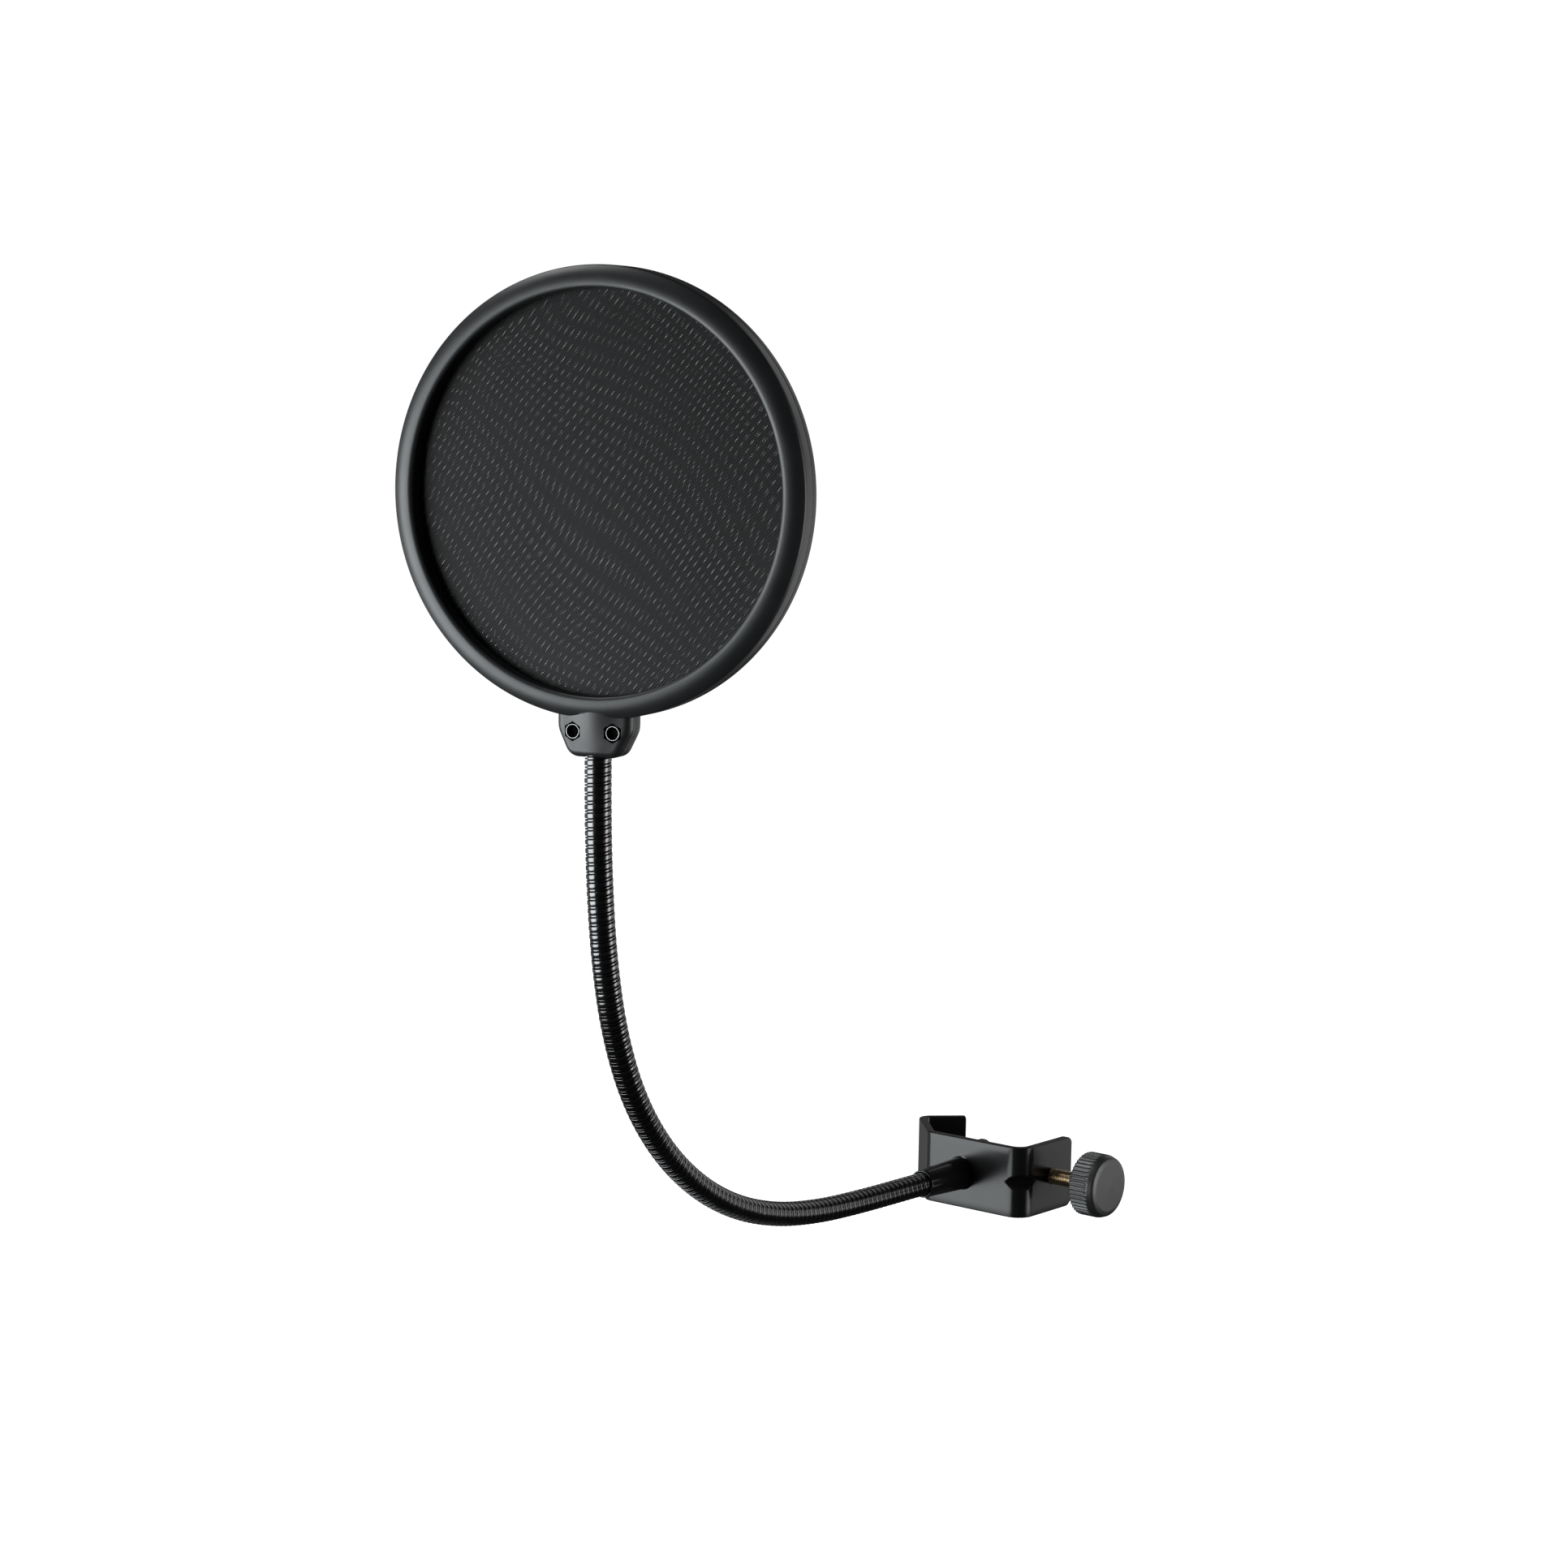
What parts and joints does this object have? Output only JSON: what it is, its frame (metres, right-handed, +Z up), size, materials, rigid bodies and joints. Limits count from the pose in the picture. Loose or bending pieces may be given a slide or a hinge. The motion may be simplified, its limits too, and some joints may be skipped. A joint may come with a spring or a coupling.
{
  "type": "pop filter",
  "caption": "Round double-mesh pop filter in a thin hoop on a flexible gooseneck arm, with a bent-strip tube clamp tightened by a knob screw.",
  "frame": {"origin": "on the axis of the clamped stand tube, halfway up the clamp bracket", "axes": "+Z up along the stand tube, +X from the tube towards the clamp knob, -Y the way the arm leaves the clamp"},
  "size_m": [0.1395, 0.2888, 0.3481],
  "materials": {
    "powder_coat": "satin-gloss black powder coat",
    "arm_steel": "glossy black lacquered steel wire",
    "zinc_steel": "yellow-passivated zinc on steel",
    "knob_plastic": "satin black moulded plastic",
    "foot_plastic": "black moulded plastic",
    "hoop_plastic": "fine-grained dark grey moulded plastic",
    "spacer_plastic": "black moulded plastic",
    "mesh_fabric": "fine woven black nylon gauze",
    "fastener_steel": "blackened steel"
  },
  "bodies": {
    "clamp": {"clamp_bracket": "powder_coat", "arm_socket": "powder_coat", "gooseneck_base": "arm_steel"},
    "foot": {"pressure_foot": "foot_plastic"},
    "screw": {"clamp_screw": "zinc_steel", "clamp_knob": "knob_plastic", "retaining_ring": "zinc_steel"},
    "link_01": {"gooseneck_link_01": "arm_steel"},
    "link_02": {"gooseneck_link_02": "arm_steel"},
    "link_03": {"gooseneck_link_03": "arm_steel"},
    "link_04": {"gooseneck_link_04": "arm_steel"},
    "link_05": {"gooseneck_link_05": "arm_steel"},
    "link_06": {"gooseneck_link_06": "arm_steel"},
    "link_07": {"gooseneck_link_07": "arm_steel"},
    "link_08": {"gooseneck_link_08": "arm_steel"},
    "link_09": {"gooseneck_link_09": "arm_steel"},
    "link_10": {"gooseneck_link_10": "arm_steel"},
    "link_11": {"gooseneck_link_11": "arm_steel"},
    "filter": {"gooseneck_link_12": "arm_steel", "front_hoop": "hoop_plastic", "rear_hoop": "hoop_plastic", "front_mesh": "mesh_fabric", "rear_mesh": "mesh_fabric", "mesh_spacer": "spacer_plastic", "neck_screws": "fastener_steel", "neck_nuts": "fastener_steel"}
  },
  "joints": [
    {"name": "foot_slide", "type": "slide", "parent": "clamp", "child": "foot", "axis": [1, 0, 0], "range_m": [-0.005, 0.025]},
    {"name": "knob_turn", "type": "hinge", "parent": "foot", "child": "screw", "pos_m": [0.06, 0, 0], "axis": [1, 0, 0], "range_deg": [-1801, 9001]},
    {"name": "low_bend", "type": "hinge", "parent": "clamp", "child": "link_01", "pos_m": [0.021, -0.05836, 0], "axis": [-0.9994, -0.0349, 0], "range_deg": [-15, 15]},
    {"name": "low_swing", "type": "hinge", "parent": "link_01", "child": "link_02", "pos_m": [0.02193, -0.08506, 0.00047], "axis": [-0.0043, 0.0609, 0.9981], "range_deg": [-15, 15]},
    {"name": "low_bend_upper", "type": "hinge", "parent": "link_02", "child": "link_03", "pos_m": [0.02379, -0.11167, 0.0021], "axis": [-0.9954, -0.0958, 0], "range_deg": [-15, 15]},
    {"name": "low_swing_upper", "type": "hinge", "parent": "link_03", "child": "link_04", "pos_m": [0.02632, -0.13793, 0.00628], "axis": [-0.0331, 0.2905, 0.9563], "range_deg": [-15, 15]},
    {"name": "mid_bend", "type": "hinge", "parent": "link_04", "child": "link_05", "pos_m": [0.02922, -0.16332, 0.01409], "axis": [-0.9925, -0.1219, 0], "range_deg": [-15, 15]},
    {"name": "mid_swing", "type": "hinge", "parent": "link_05", "child": "link_06", "pos_m": [0.03212, -0.18695, 0.02622], "axis": [-0.0795, 0.6036, 0.7934], "range_deg": [-15, 15]},
    {"name": "mid_bend_upper", "type": "hinge", "parent": "link_06", "child": "link_07", "pos_m": [0.03488, -0.20797, 0.04249], "axis": [-0.9903, -0.1392, 0], "range_deg": [-15, 15]},
    {"name": "mid_swing_upper", "type": "hinge", "parent": "link_07", "child": "link_08", "pos_m": [0.0373, -0.22515, 0.0628], "axis": [-0.1323, 0.8851, 0.4462], "range_deg": [-15, 15]},
    {"name": "top_bend", "type": "hinge", "parent": "link_08", "child": "link_09", "pos_m": [0.03906, -0.23695, 0.08672], "axis": [-0.9877, -0.1564, 0], "range_deg": [-15, 15]},
    {"name": "top_swing", "type": "hinge", "parent": "link_09", "child": "link_10", "pos_m": [0.04011, -0.24355, 0.11259], "axis": [-0.1553, 0.9803, 0.1219], "range_deg": [-15, 15]},
    {"name": "top_bend_upper", "type": "hinge", "parent": "link_10", "child": "link_11", "pos_m": [0.04062, -0.24677, 0.13911], "axis": [-0.9877, -0.1564, 0], "range_deg": [-15, 15]},
    {"name": "top_swing_upper", "type": "hinge", "parent": "link_11", "child": "filter", "pos_m": [0.04084, -0.24815, 0.16579], "axis": [-0.1564, 0.9877, 0], "range_deg": [-15, 15]}
  ],
  "couplings": [
    {"joint": "knob_turn", "follows": "foot_slide", "rad_per_m": 6283.2},
    {"joint": "low_bend_upper", "follows": "low_bend", "ratio": 1},
    {"joint": "low_swing_upper", "follows": "low_swing", "ratio": 1},
    {"joint": "mid_bend_upper", "follows": "mid_bend", "ratio": 1},
    {"joint": "mid_swing_upper", "follows": "mid_swing", "ratio": 1},
    {"joint": "top_bend_upper", "follows": "top_bend", "ratio": 1},
    {"joint": "top_swing_upper", "follows": "top_swing", "ratio": 1}
  ]
}
